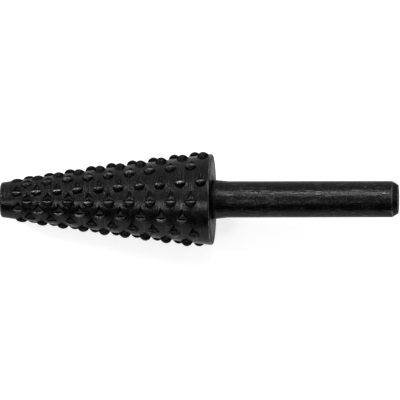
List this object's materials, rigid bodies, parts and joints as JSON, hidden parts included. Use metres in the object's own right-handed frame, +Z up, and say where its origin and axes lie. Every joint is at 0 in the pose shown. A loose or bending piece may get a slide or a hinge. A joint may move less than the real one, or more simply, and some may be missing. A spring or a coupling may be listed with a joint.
{
  "type": "rotary rasp",
  "caption": "Tapered steel head covered in punched rasp teeth on a plain round shank, for shaping wood with a power drill.",
  "frame": {"origin": "centre of the base of the bounding box, on the surface that the rasp lies on", "axes": "+X level, from the tip towards the shank; +Z up. The rasp lies on two rows of teeth, so its own axis rises towards the shank by 7.42 degrees"},
  "size_m": [0.0656, 0.0158, 0.0159],
  "materials": {
    "blackened_steel": "black oxide, satin"
  },
  "bodies": {
    "root": {"rotary_rasp": "blackened_steel"}
  },
  "joints": []
}
